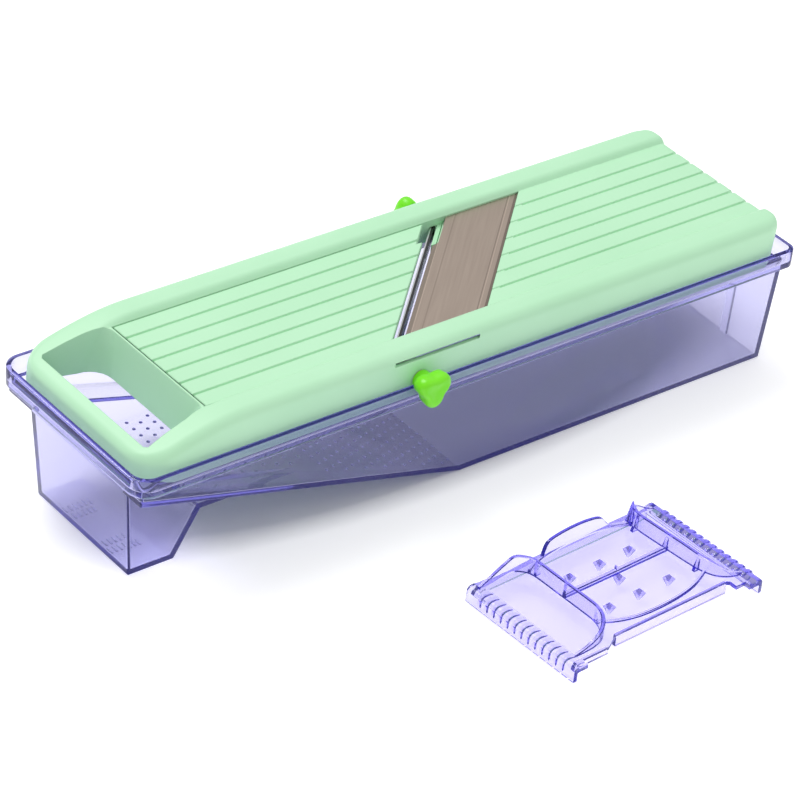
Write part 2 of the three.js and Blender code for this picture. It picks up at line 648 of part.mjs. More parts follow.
// A wall across the guard, curving at both ends towards its grip, where it comes down to the plate.
function handWall(x, towards, y0, y1) {
  const reach = guardLength / 2 - guardLip - 2 - Math.abs(x);
  const top = guardSkirt + guardWallHeight;
  const bend = guardBend;
  const arc = (grow, yCentre, from) => Array.from({ length: 7 }, (_, i) => {
    const angle = from - (i / 6) * (Math.PI / 2);
    return [x + towards * (bend - (bend + grow) * Math.cos(angle)), yCentre + (bend + grow) * Math.sin(angle)];
  });
  const line = (grow) => [
    [x + towards * reach, y1 + grow],
    ...arc(grow, y1 - bend, Math.PI / 2),
    ...arc(grow, y0 + bend, 0),
    [x + towards * reach, y0 - grow],
  ];
  const band = polygon([...line(guardWallThickness / 2), ...line(-guardWallThickness / 2).reverse()]);
  const falling = polygon([
    [x - towards * 10, 0],
    [x + towards * (reach + 1), 0],
    [x + towards * (reach + 1), guardSkirt + 1.5],
    [x + towards * bend * 0.8, top],
    [x - towards * 10, top],
  ]);
  return upright(band, guardSkirt - 1, top).intersect(crosswise(falling, -guardWidth, guardWidth));
}

function makeFingerGuard() {
  const [halfX, halfY] = [guardLength / 2, guardWidth / 2];
  const plateBottom = guardSkirt - guardPlate;
  const near = -halfY + guardNearInset;
  const plate = upright(guardOutline(), plateBottom, guardSkirt);
  const nearSkirt = box(-halfX + 34, halfX - 14, near, near + guardPlate, 0.6, guardSkirt);
  const farSkirt = box(-halfX + 4, halfX - 4, halfY - guardPlate, halfY, 0.6, guardSkirt);
  const lips = [-1, 1].map((side) => {
    const lip = crosswise(
      roundedRectangle(halfX - guardLip, halfX, 0, guardSkirt + 0.6, 1.9), -halfY, halfY, 3);
    return side > 0 ? lip : lip.mirror([1, 0, 0]);
  });
  const ribPitch = (guardWidth - 10) / guardRibCount;
  const gripRibs = [-1, 1].flatMap((side) =>
    Array.from({ length: guardRibCount }, (_, i) => {
      const y = (i - (guardRibCount - 1) / 2) * ribPitch;
      const [a, b] = [side * (halfX - guardLip - 3), side * (halfX - 1.6)];
      return box(Math.min(a, b), Math.max(a, b), y - 1.2, y + 1.2, guardSkirt - 0.5, guardSkirt + 1.2);
    }));
  const walls = [
    handWall(guardLeftWall, -1, -halfY + 10, halfY - 3.5),
    handWall(guardRightWall, 1, -halfY + 10, halfY - 6),
  ];
  const [low, high] = [guardLeftWall + 0.4, guardRightWall - 0.4];
  const farRidge = archWall(low, high, halfY - 6.5, 5.5, guardSkirt - 0.5, guardSkirt + 1.5);
  const farArch = archWall(low, high, halfY - 6.5, 5.5, guardSkirt - 0.5, guardSkirt + guardWallHeight,
    0.14, 0.8);
  const nearRidge = archWall(low, high, -halfY + 18.5, -9, guardSkirt - 0.5, guardSkirt + 1.5);
  const crossRib = box(low, high, 2, 3.6, guardSkirt - 0.5, guardSkirt + 2.2);
  const prongPlaces = [-12, 5, 22].flatMap((x) => [[x, -9], [x, 15]]).concat([[5, 3]]);
  const prongs = prongPlaces.map(([x, y]) => {
    const cone = new THREE.ConeGeometry(2.3, plateBottom, 4);
    return solidOf(cone.rotateX(-Math.PI / 2).translate(x, y, plateBottom / 2 + 0.5));
  });
  return joined([plate, nearSkirt, farSkirt, ...lips, ...gripRibs, ...walls, farRidge, farArch, nearRidge,
    crossRib, ...prongs]);
}

// ---- The assembly
addPiece("tray", makeTray(), clearPlastic);
addPiece("body_frame", makeBody(), mintPlastic);
addPiece("adjusting_plate", makeAdjustingPlate(), mintPlastic);
addPiece("plate_hinge_pin",
  cylinderAcross(pinRadius, -channelOuter + 0.4, channelOuter - 0.4, pinX, pinZ, 20), brightSteel);
addPiece("main_blade", makeMainBlade(), brushedSteel);
addPiece("comb_strip", makeCombStrip(), brightSteel);
addClamp(-1);
addClamp(1);
addThicknessAdjuster();

const guard = new THREE.Group();
guard.position.set(guardCentre.x, guardCentre.y, 0);
guard.rotation.z = guardTurn;
slicer.add(guard);
addPiece("finger_guard", makeFingerGuard(), clearPlastic, guard);

const mandoline = new THREE.Group();
mandoline.add(slicer);

export default mandoline;
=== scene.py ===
# Mandoline slicer in its clear catch tray, with the finger guard beside it.
# Sizes are in millimetres, measured along X from the handle end of the tray's rim.
import math

import bmesh
import bpy
from mathutils import Matrix, Vector


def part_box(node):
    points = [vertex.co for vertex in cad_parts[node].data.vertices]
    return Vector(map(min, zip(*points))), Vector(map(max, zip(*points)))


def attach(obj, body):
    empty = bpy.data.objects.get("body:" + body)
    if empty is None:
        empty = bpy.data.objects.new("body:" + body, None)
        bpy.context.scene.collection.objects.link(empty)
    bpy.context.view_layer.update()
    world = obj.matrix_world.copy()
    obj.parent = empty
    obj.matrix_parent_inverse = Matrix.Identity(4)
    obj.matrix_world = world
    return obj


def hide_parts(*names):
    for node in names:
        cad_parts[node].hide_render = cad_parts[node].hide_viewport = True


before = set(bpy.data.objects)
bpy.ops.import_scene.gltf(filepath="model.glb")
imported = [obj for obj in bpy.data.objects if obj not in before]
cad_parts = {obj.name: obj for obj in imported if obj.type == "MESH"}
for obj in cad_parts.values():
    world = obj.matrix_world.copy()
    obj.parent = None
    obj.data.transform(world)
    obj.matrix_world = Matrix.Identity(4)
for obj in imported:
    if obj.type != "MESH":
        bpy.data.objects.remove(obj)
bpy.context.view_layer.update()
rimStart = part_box("tray")[0][0]
scene = bpy.context.scene
print("frame loaded")


# Mesh helpers.
def at(x, y, z):
    return Vector((rimStart + x * 0.001, y * 0.001, z * 0.001))


def newObject(name, mesh):
    obj = bpy.data.objects.new(name, mesh)
    scene.collection.objects.link(obj)
    return obj


def meshFrom(name, points, faces):
    mesh = bpy.data.meshes.new(name)
    mesh.from_pydata([at(*p) for p in points], [], faces)
    work = bmesh.new()
    work.from_mesh(mesh)
    bmesh.ops.remove_doubles(work, verts=work.verts, dist=1e-7)
    bmesh.ops.recalc_face_normals(work, faces=work.faces)
    work.to_mesh(mesh)
    work.free()
    return newObject(name, mesh)


# Closed skin over rings of points that all have the same count.
def skinned(name, rings):
    count = len(rings[0])
    points = [p for ring in rings for p in ring]
    faces = [list(range(count))[::-1], [len(points) - count + i for i in range(count)]]
    for r in range(len(rings) - 1):
        for i in range(count):
            j = (i + 1) % count
            faces.append([r * count + i, r * count + j, (r + 1) * count + j, (r + 1) * count + i])
    return meshFrom(name, points, faces)


def prism(name, outline, z0, z1):
    return skinned(name, [[(x, y, z0) for x, y in outline], [(x, y, z1) for x, y in outline]])


def block(name, x0, x1, y0, y1, z0, z1):
    return prism(name, [(x0, y0), (x1, y0), (x1, y1), (x0, y1)], z0, z1)


# A convex solid with round edges: the hull of balls held in from the faces of its sharp shape.
def roundedHull(name, corners, inset, radius, steps=6):
    sharp = bmesh.new()
    for corner in corners:
        sharp.verts.new(at(*corner))
    bmesh.ops.convex_hull(sharp, input=sharp.verts)
    bmesh.ops.dissolve_limit(sharp, angle_limit=0.01, verts=sharp.verts, edges=sharp.edges)
    bmesh.ops.recalc_face_normals(sharp, faces=sharp.faces)
    work = bmesh.new()
    for vert in sharp.verts:
        total = Matrix(((0, 0, 0), (0, 0, 0), (0, 0, 0)))
        pull = Vector()
        for face in vert.link_faces:
            n = face.normal
            total += Matrix((n * n.x, n * n.y, n * n.z))
            pull -= n * (inset + radius) * 0.001
        middle = vert.co + total.inverted() @ pull
        for i in range(steps + 1):
            tilt = math.pi * i / steps
            around = 1 if i in (0, steps) else 2 * steps
            for j in range(around):
                turn = 2 * math.pi * j / around
                work.verts.new(middle + 0.001 * radius * Vector(
                    (math.sin(tilt) * math.cos(turn), math.sin(tilt) * math.sin(turn), math.cos(tilt))))
    sharp.free()
    hull = bmesh.ops.convex_hull(work, input=work.verts, use_existing_faces=False)
    spare = [g for g in hull["geom_interior"] + hull["geom_unused"] if isinstance(g, bmesh.types.BMVert)]
    bmesh.ops.delete(work, geom=list(set(spare)), context="VERTS")
    bmesh.ops.dissolve_limit(work, angle_limit=0.002, verts=work.verts, edges=work.edges)
    bmesh.ops.recalc_face_normals(work, faces=work.faces)
    mesh = bpy.data.meshes.new(name)
    work.to_mesh(mesh)
    work.free()
    return newObject(name, mesh)


# Joins or cuts solids one after another and keeps the result as a plain mesh.
def combine(target, others, operation="DIFFERENCE", crossing=False):
    for other in others:
        step = target.modifiers.new("step", "BOOLEAN")
        step.use_self = crossing
        step.operation = operation
        step.solver = "EXACT"
        step.object = other
        bpy.context.view_layer.update()
        done = target.evaluated_get(bpy.context.evaluated_depsgraph_get())
        mesh = bpy.data.meshes.new_from_object(done)
        target.modifiers.clear()
        target.data = mesh
        bpy.data.objects.remove(other)
    return target


def gathered(name, others):
    work = bmesh.new()
    for other in others:
        work.from_mesh(other.data)
        bpy.data.objects.remove(other)
    mesh = bpy.data.meshes.new(name)
    work.to_mesh(mesh)
    work.free()
    return newObject(name, mesh)


def softShade(obj, angle):
    work = bmesh.new()
    work.from_mesh(obj.data)
    bmesh.ops.remove_doubles(work, verts=work.verts, dist=3e-6)
    bmesh.ops.dissolve_degenerate(work, edges=work.edges, dist=3e-6)
    work.to_mesh(obj.data)
    work.free()
    obj.data.shade_smooth()
    obj.data.set_sharp_from_angle(angle=math.radians(angle))


def finishPiece(obj, material, body, slotName, *replaced, angle):
    softShade(obj, angle)
    obj.data.materials.clear()
    obj.data.materials.append(material)
    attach(obj, body)
    if replaced:
        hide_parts(*replaced)
    return obj


# Materials. Distances here are in metres.
plasticLook = {
    "driftScale": 14, "grainScale": 900, "grainStrength": 0.05, "grainDepth": 0.0001, "edgeRadius": 0.0004,
}


def newMaterial(name):
    material = bpy.data.materials.new(name)
    material.use_nodes = True
    tree = material.node_tree
    return material, tree, tree.nodes["Principled BSDF"]


# The fine grain that a mould leaves, over edges that are a little round.
def mouldGrain(tree, shader):
    place = tree.nodes.new("ShaderNodeTexCoord")
    grain = tree.nodes.new("ShaderNodeTexNoise")
    grain.inputs["Scale"].default_value = plasticLook["grainScale"]
    grain.inputs["Detail"].default_value = 3
    bump = tree.nodes.new("ShaderNodeBump")
    bump.inputs["Strength"].default_value = plasticLook["grainStrength"]
    bump.inputs["Distance"].default_value = plasticLook["grainDepth"]
    rounding = tree.nodes.new("ShaderNodeBevel")
    rounding.samples = 4
    rounding.inputs["Radius"].default_value = plasticLook["edgeRadius"]
    tree.links.new(place.outputs["Object"], grain.inputs["Vector"])
    tree.links.new(grain.outputs["Fac"], bump.inputs["Height"])
    tree.links.new(rounding.outputs["Normal"], bump.inputs["Normal"])
    tree.links.new(bump.outputs["Normal"], shader.inputs["Normal"])


# A colour that drifts a little over the surface, between two close shades.
def driftingColor(tree, shader, first, second):
    place = tree.nodes.new("ShaderNodeTexCoord")
    cloud = tree.nodes.new("ShaderNodeTexNoise")
    cloud.inputs["Scale"].default_value = plasticLook["driftScale"]
    cloud.inputs["Detail"].default_value = 4
    ramp = tree.nodes.new("ShaderNodeValToRGB")
    ramp.color_ramp.elements[0].position = 0.35
    ramp.color_ramp.elements[0].color = (*first, 1)
    ramp.color_ramp.elements[1].position = 0.65
    ramp.color_ramp.elements[1].color = (*second, 1)
    tree.links.new(place.outputs["Object"], cloud.inputs["Vector"])
    tree.links.new(cloud.outputs["Fac"], ramp.inputs["Fac"])
    tree.links.new(ramp.outputs["Color"], shader.inputs["Base Color"])


def mouldedPlastic(name, first, second, roughness):
    material, tree, shader = newMaterial(name)
    driftingColor(tree, shader, first, second)
    shader.inputs["Roughness"].default_value = roughness
    shader.inputs["IOR"].default_value = 1.5
    mouldGrain(tree, shader)
    return material


def clearPlastic(name, tint, density, edgeGlowColor, edgeGlowStrength):
    material, tree, shader = newMaterial(name)
    shader.inputs["Base Color"].default_value = (1, 1, 1, 1)
    shader.inputs["Transmission Weight"].default_value = 1
    shader.inputs["IOR"].default_value = 1.45
    place = tree.nodes.new("ShaderNodeTexCoord")
    cloud = tree.nodes.new("ShaderNodeTexNoise")
    cloud.inputs["Scale"].default_value = 30
    haze = tree.nodes.new("ShaderNodeMapRange")
    haze.inputs["To Min"].default_value = 0.02
    haze.inputs["To Max"].default_value = 0.07
    tree.links.new(place.outputs["Object"], cloud.inputs["Vector"])
    tree.links.new(cloud.outputs["Fac"], haze.inputs["Value"])
    tree.links.new(haze.outputs["Result"], shader.inputs["Roughness"])
    output = tree.nodes["Material Output"]
    absorb = tree.nodes.new("ShaderNodeVolumeAbsorption")
    absorb.inputs["Color"].default_value = (*tint, 1)
    absorb.inputs["Density"].default_value = density
    # the plastic glows deep blue from within: a painted glow that grows with the way through it, so long ways
    # through the plastic, along its edges, end in deep blue
    glow = tree.nodes.new("ShaderNodeEmission")
    glow.inputs["Color"].default_value = (*edgeGlowColor, 1)
    glow.inputs["Strength"].default_value = edgeGlowStrength
    both = tree.nodes.new("ShaderNodeAddShader")
    tree.links.new(absorb.outputs["Volume"], both.inputs[0])
    tree.links.new(glow.outputs["Emission"], both.inputs[1])
    tree.links.new(both.outputs["Shader"], output.inputs["Volume"])
    # lamps shine through the walls
    path = tree.nodes.new("ShaderNodeLightPath")
    through = tree.nodes.new("ShaderNodeBsdfTransparent")
    through.inputs["Color"].default_value = (0.93, 0.92, 0.98, 1)
    mix = tree.nodes.new("ShaderNodeMixShader")
    tree.links.new(path.outputs["Is Shadow Ray"], mix.inputs["Fac"])
    tree.links.new(shader.outputs["BSDF"], mix.inputs[1])
    tree.links.new(through.outputs["BSDF"], mix.inputs[2])
    tree.links.new(mix.outputs["Shader"], output.inputs["Surface"])
    return material


# Metal with fine streaks along its turned X axis; painted lines of highlight and shade are (place across,
# half width, shade).
def brushedSteel(name, first, second, roughness, turn, stretch, paintedLines=()):
    material, tree, shader = newMaterial(name)
    shader.inputs["Metallic"].default_value = 1
    place = tree.nodes.new("ShaderNodeTexCoord")
    mapping = tree.nodes.new("ShaderNodeMapping")
    mapping.vector_type = "TEXTURE"
    mapping.inputs["Rotation"].default_value = (0, 0, turn)
    mapping.inputs["Scale"].default_value = [1 / s for s in stretch]
    grain = tree.nodes.new("ShaderNodeTexNoise")
    grain.inputs["Scale"].default_value = 6
    grain.inputs["Detail"].default_value = 6
    ramp = tree.nodes.new("ShaderNodeValToRGB")
    ramp.color_ramp.elements[0].position = 0.3
    ramp.color_ramp.elements[0].color = (*first, 1)
    ramp.color_ramp.elements[1].position = 0.7
    ramp.color_ramp.elements[1].color = (*second, 1)
    rough = tree.nodes.new("ShaderNodeMapRange")
    rough.inputs["To Min"].default_value = roughness * 0.8
    rough.inputs["To Max"].default_value = roughness * 1.25
    bump = tree.nodes.new("ShaderNodeBump")
    bump.inputs["Strength"].default_value = 0.04
    bump.inputs["Distance"].default_value = 0.0002
    tree.links.new(place.outputs["Object"], mapping.inputs["Vector"])
    tree.links.new(mapping.outputs["Vector"], grain.inputs["Vector"])
    tree.links.new(grain.outputs["Fac"], ramp.inputs["Fac"])
    colour = ramp.outputs["Color"]
    for across, width, shade in paintedLines:
        split = tree.nodes.new("ShaderNodeSeparateXYZ")
        tree.links.new(mapping.outputs["Vector"], split.inputs["Vector"])
        away = tree.nodes.new("ShaderNodeMath")
        away.operation = "COMPARE"
        away.inputs[1].default_value = across * stretch[1]
        away.inputs[2].default_value = width * stretch[1]
        tree.links.new(split.outputs["Y"], away.inputs[0])
        tone = tree.nodes.new("ShaderNodeMix")
        tone.data_type = "RGBA"
        tone.inputs["B"].default_value = (*[c * shade for c in first], 1)
        tree.links.new(away.outputs["Value"], tone.inputs["Factor"])
        tree.links.new(colour, tone.inputs["A"])
        colour = tone.outputs["Result"]
    tree.links.new(colour, shader.inputs["Base Color"])
    tree.links.new(grain.outputs["Fac"], rough.inputs["Value"])
    tree.links.new(rough.outputs["Result"], shader.inputs["Roughness"])
    tree.links.new(grain.outputs["Fac"], bump.inputs["Height"])
    tree.links.new(bump.outputs["Normal"], shader.inputs["Normal"])
    return material


# Blade and strip sizes. The blade's slant also turns the streaks of its steel.
blade = {
    "middle": 184.6, "skew": 1.072, "cover": 40.7, "bevel": 3.3, "thickness": 1.1, "top": 71.9,
    "throat": 9.7, "strip": 8.6, "stripWidth": 2.4, "stripTop": 68.8, "post": 13,
    "seatGap": 0.3, "endGap": 0.4,
}
bladeTurn = math.atan2(1, blade["skew"])


# Lines along the blade where it is pressed and ground, painted as highlights (shade above 1) and shade (below
# 1): millimetres behind its front line, half width, shade.
def paintedLinesAlongBlade(places):
    return [(-(rimStart + (blade["middle"] + behind) * 0.001) * math.sin(bladeTurn), width * 0.001, shade)
            for behind, width, shade in places]


# the lines brighter than the steel are painted highlights, the darker ones painted shade, on the bevel, the
# edge and the back
paintedBladeLines = paintedLinesAlongBlade([(35.2, 0.22, 0.72), (36.2, 0.16, 1.35), (5.6, 0.3, 0.86),
                              (-0.3, 0.25, 1.3), (-2.2, 1.2, 0.75), (39.9, 0.5, 0.55)])
mint = mouldedPlastic("mintPlastic", (0.465, 0.80, 0.52), (0.495, 0.825, 0.55), 0.42)
lime = mouldedPlastic("limePlastic", (0.17, 0.76, 0.004), (0.20, 0.82, 0.006), 0.3)
# the last two values of each clear plastic are the colour and strength of its painted blue glow
trayClear = clearPlastic("trayClearPlastic", (0.20, 0.17, 0.72), 135, (0.07, 0.03, 1.0), 4.0)
studClear = clearPlastic("studPlastic", (0.16, 0.12, 0.60), 900, (0.07, 0.03, 1.0), 26)
guardClear = clearPlastic("guardClearPlastic", (0.28, 0.2, 0.82), 165, (0.22, 0.2, 1.0), 7.5)
bladeSteel = brushedSteel("bladeSteel", (0.45, 0.365, 0.305), (0.49, 0.405, 0.34), 0.36,
                          bladeTurn, (5, 160, 60), paintedBladeLines)
# the strip's side behind its bright top edge is painted dark, a painted shade for the gap beside it
combSteel = brushedSteel("combSteel", (0.7, 0.7, 0.72), (0.8, 0.8, 0.82), 0.3, bladeTurn, (5, 160, 60),
                         paintedLinesAlongBlade([(-6.9, 0.6, 0.1)]))
brightSteel = brushedSteel("brightSteel", (0.66, 0.66, 0.68), (0.8, 0.8, 0.82), 0.24, 0, (60, 60, 60))
brassMetal = brushedSteel("insertBrass", (0.56, 0.4, 0.14), (0.66, 0.48, 0.18), 0.3, 0, (80, 80, 80))
nylon = mouldedPlastic("whiteNylon", (0.8, 0.8, 0.77), (0.84, 0.84, 0.8), 0.5)
print("materials ready")

# The slicer's body.
body = {
    "start": 5.5, "end": 349.5, "half": 48.9, "bottom": 53.9, "railTop": 75.3, "deckTop": 72.7,
    "deckHalf": 33.4, "cornerHandle": 15, "cornerRear": 9, "sideDraft": 0.8, "railRound": 5,
    "rampEnd": 58, "rearLean": 4, "rearReach": 20, "rearRound": 3.6, "deckThickness": 2.8, "wall": 2.7,
    "grooves": 6, "groovePitch": 9.57, "grooveHalf": 0.8, "grooveDepth": 1.0, "grooveFlare": 0.9,
    "flareReach": 4, "groovesFrom": 150, "plateStart": 43.4, "webDepth": 8, "openingStart": 11.7,
    "openingHalf": 38.2, "channelStart": 52, "channelHalf": 35.8, "draftOver": 21, "roundLimit": 37.4,
}


# Where the blade's front line crosses a given y.
def bladeLine(y):
    return blade["middle"] + blade["skew"] * y


def bladeBand(name, x0, x1, y0, y1, z0, z1):
    return prism(name, [(bladeLine(y0) + x0, y0), (bladeLine(y0) + x1, y0),
                        (bladeLine(y1) + x1, y1), (bladeLine(y1) + x0, y1)], z0, z1)


def bezier(a, b, c, d, t):
    s = 1 - t
    return tuple(s * s * s * p + 3 * s * s * t * q + 3 * s * t * t * r + t * t * t * w
                 for p, q, r, w in zip(a, b, c, d))


# Rail height along the body: handle end, ramp, level run and rounded rear.
def railProfile():
    start, end, top, rampEnd = body["start"], body["end"], body["railTop"], body["rampEnd"]
    nose = (start, 60.6), (start, 63.6), (start + 1.8, 65.1), (start + 5, 65.6)
    ramp = nose[3], (start + 18.5, 70.2), (rampEnd - 17, top), (rampEnd, top)
    rear = (end - 4.6, top), (end - 1.9, top), (end, top - 1.7), (end, top - 4.7)
    line = [bezier(*nose, i / 10) for i in range(11)]
    line += [bezier(*ramp, i / 16) for i in range(1, 17)]
    line += [(x, top) for x in range(rampEnd + 12, int(end) - 8, 18)]
    return line + [bezier(*rear, i / 9) for i in range(10)]


def grooveCentres():
    return [(i - (body["grooves"] - 1) / 2) * body["groovePitch"] for i in range(body["grooves"])]


# Across the deck, from one rail to the other: (y, depth as a share of a groove's).
def deckPoints(limit, flare=0):
    points = []
    for c in grooveCentres():
        h = body["grooveHalf"] + flare
        points += [(c - h, 0), (c - h * 0.8, 0.1), (c - h * 0.35, 0.95), (c + h * 0.35, 0.95),
                   (c + h * 0.8, 0.1), (c + h, 0)]
    lands = [(i - body["grooves"] / 2) * body["groovePitch"] for i in range(body["grooves"] + 1)]
    points += [(y, 0) for y in lands if abs(y) < limit - 2]
    return sorted(points + [(-limit + 0.02, 0), (limit - 0.02, 0)])


def bodyRings():
    rings = []
    b = body
    for x, top in railProfile():
        fromStart = x - b["start"]
        fromEnd = b["end"] - x
        half = b["half"]
        if fromStart < b["cornerHandle"]:
            r = b["cornerHandle"]
            half += -r + math.sqrt(max(0, r * r - (r - fromStart) ** 2))
        if fromEnd < b["cornerRear"]:
            r = b["cornerRear"]
            half += -r + math.sqrt(max(0, r * r - (r - fromEnd) ** 2))
        squeeze = half / b["half"] if fromStart < b["cornerHandle"] else 1
        slope = 0
        deck = min(b["deckTop"], top)
        if fromEnd < b["rearRound"]:
            slope = (b["rearRound"] - fromEnd) / b["rearRound"]
            deck = b["deckTop"] - b["rearRound"] * (1 - math.sqrt(max(0, 1 - slope * slope)))
            deck = min(deck, top - 0.02)
        step = top - deck
        outer = half - b["sideDraft"] * (top - b["bottom"]) / b["draftOver"]  # the sides lean in a little
        r = min(b["railRound"], outer - b["roundLimit"]) if squeeze == 1 else b["railRound"]
        side = [(half, b["bottom"]), (half - 0.15, b["bottom"] + 2.5), (outer, top - r)]
        side += [(outer - r + r * math.cos(a), top - r + r * math.sin(a))
                 for a in [math.pi / 2 * i / 7 for i in range(1, 8)]]
        inner = b["deckHalf"] * squeeze
        side += [(inner + 3.6, top), (inner + 2.4, top - step * 0.1), (inner + 1.4, top - step * 0.36),
                 (inner + 0.7, top - step * 0.66), (inner + 0.25, top - step * 0.9), (inner, deck)]
        hasGrooves = x > b["groovesFrom"]
        ring = [(x, -y, z) for y, z in side]
        # the grooves open out at the rear edge
        flare = max(0, 1 - (fromEnd - 0.5) / b["flareReach"]) * b["grooveFlare"]
        for y, share in deckPoints(b["deckHalf"], flare):
            depth = (b["grooveDepth"] + flare) * share if hasGrooves else 0
            across = math.sqrt(max(0, 1 - slope * slope))
            ring.append((x - depth * slope, y * squeeze, deck - depth * across))
        ring += [(x, y, z) for y, z in reversed(side)]
        if fromEnd < b["rearReach"]:
            lean = b["rearLean"] * (b["rearReach"] - fromEnd) / b["rearReach"] / (b["railTop"] - b["bottom"])
            ring = [(px - lean * (b["railTop"] - pz), py, pz) for px, py, pz in ring]
        rings.append(ring)
    return rings


# The handle opening: its plate side slopes and its lower corners are round.
def handleCutter():
    left, wide = body["openingStart"], body["openingHalf"]

    def outline(right, spread, corner):
        far = [(right - corner - 6, spread + 1.6)]
        far += [(right - corner + corner * math.sin(a), spread - corner + corner * math.cos(a))
                for a in [math.pi / 2 * i / 6 for i in range(7)]]
        near = [(x, -y) for x, y in reversed(far)]
        leftEnd = [(left + 1.2, -wide), (left, -wide + 1.6), (left, wide - 1.6), (left + 1.2, wide)]
        return far + near + leftEnd

    rings = [[(x, y, 50) for x, y in outline(38.0, 34.5, 11)],
             [(x, y, 56) for x, y in outline(39.0, 34.5, 10)],
             [(x, y, 66) for x, y in outline(41.2, 34.6, 8)],
             [(x, y, 72.9) for x, y in outline(42.6, 34.6, 4)],
             [(x, y, 80) for x, y in outline(43.2, 35.4, 2.5)]]
    return skinned("handleCutter", rings)


def makeBody():
    b = body
    shell = skinned("slicerBody", bodyRings())
    wall, deckBottom = b["wall"], b["deckTop"] - b["deckThickness"]
    web = deckBottom - b["webDepth"]
    rear = b["end"] - b["rearLean"] - wall
    inside, y = b["half"] - wall, b["deckHalf"]
    cutters = [handleCutter(),
               block("below", b["plateStart"] - 1, rear, -inside, inside, 50, web),
               block("middle", b["plateStart"], rear, -y, y, web - 1, deckBottom)]
    for side in (-1, 1):
        low, high = sorted((side * b["channelHalf"], side * inside))
        cutters.append(block("channel", b["channelStart"], rear, low, high, web - 1, b["railTop"] - wall))
    cutters.append(prism("window", [(b["plateStart"], -y), (bladeLine(-y) - 1, -y),
                                    (bladeLine(y) - 1, y), (b["plateStart"], y)], 52, 78))
    combine(shell, cutters)
    seat = bladeBand("seat", -1, blade["cover"] + 5, -y - 1, y + 1, 67.2, b["deckTop"] - 0.4)
    post = bladeBand("post", -4.6, -1.8, y - blade["post"] + 1, y + 1, web, blade["top"] - 2.8)
    seatWeb = bladeBand("seatWeb", -1.2, 1.6, -y - 1, y + 1, 57, 68.2)
    combine(shell, [seat, seatWeb], "UNION")
    gap, endGap = blade["seatGap"], blade["endGap"]
    front, back = -blade["bevel"] - endGap, blade["cover"] + endGap
    seatTop = blade["top"] - blade["thickness"] - gap
    stripFront, stripBack = -blade["strip"] - endGap, -blade["strip"] + blade["stripWidth"] + endGap
    combine(shell, [
        bladeBand("path", front, back, -52, 36.7, seatTop, blade["top"] + gap),
        bladeBand("view", front, back, -y, y, seatTop, 78),
        bladeBand("stripSlot", stripFront, stripBack, -36.8, 36.8, 56, blade["stripTop"] + gap),
    ])
    combine(shell, [post], "UNION")
    return finishPiece(shell, mint, "slicer", "mint_plastic", "body_frame", angle=32)


slicerBody = makeBody()
print("slicer body done", len(slicerBody.data.polygons))

# The adjusting plate, cut back a little at the far corner of the throat.
plate = {"top": 72.4, "thickness": 2.8, "half": 32.95, "hingeGap": 1.0, "notchStart": 21.45, "notch": 3.2}


def makePlate():
    top, thick, notchStart = plate["top"], plate["thickness"], plate["notchStart"]
    start = body["plateStart"] + plate["hingeGap"]
    rows = sorted(deckPoints(plate["half"]) + [(notchStart - 0.05, 0), (notchStart + 0.05, 0)])
    rings = []
    for y, share in rows:
        depth = body["grooveDepth"] * share
        endX = bladeLine(y) - blade["throat"] - (plate["notch"] if y > notchStart else 0)
        rings.append([(start + 2.6, y, top - thick), (start + depth * 0.8, y, top - 0.4 - depth),
                      (start + 0.4 + depth * 0.8, y, top - depth), (start + 20, y, top - depth),
                      (endX - 0.5, y, top - depth), (endX, y, top - 0.5 - depth), (endX, y, top - thick)])
    solid = skinned("adjustingPlate", rings)
    return finishPiece(solid, mint, "adjusting_plate", "mint_plastic", "adjusting_plate", angle=32)


makePlate()
print("adjusting plate done")

# The tray.
tray = {
    "length": 355, "half": 52, "top": 60, "band": 8.6, "wall": 2.2, "edge": 0.5,
    "cornerHandle": 9.5, "cornerRear": 5, "ribOffset": 21.5, "ribWidth": 4.5,
    "slopeStart": 24, "slopeEnd": 174.7, "slopeTop": 45.8, "shelf": 22, "shelfEnd": 104,
    "studPitch": 5.3, "studRadius": 0.85, "studHeight": 0.6, "studRows": 25, "studStart": 45.8,
    "studsOnShelf": 31, "studsOnSlope": 41,
}


def bothSides(points):
    return [(x, side * y, z) for x, y, z in points for side in (-1, 1)]


def bandSolid(name, inset, bottom, top):
    edge = tray["edge"]
    levels = [(bottom, edge), (bottom + edge * 0.3, edge * 0.3), (bottom + edge, 0)]
    levels += [(top - edge, 0), (top - edge * 0.3, edge * 0.3), (top, edge)] if not inset else [(top, 0)]
    rings = []
    for z, shrink in levels:
        ring = []
        for atRear, side, start in ((True, 1, 0), (False, 1, 90), (False, -1, 180), (True, -1, 270)):
            radius = tray["cornerRear"] if atRear else tray["cornerHandle"]
            cx = tray["length"] - radius if atRear else radius
            cy = side * (tray["half"] - radius)
            reach = radius - inset - shrink
            for i in range(13):
                a = math.radians(start + 90 * i / 12)
                ring.append((cx + reach * math.cos(a), cy + reach * math.sin(a), z))
        rings.append(ring)
    return skinned(name, rings)


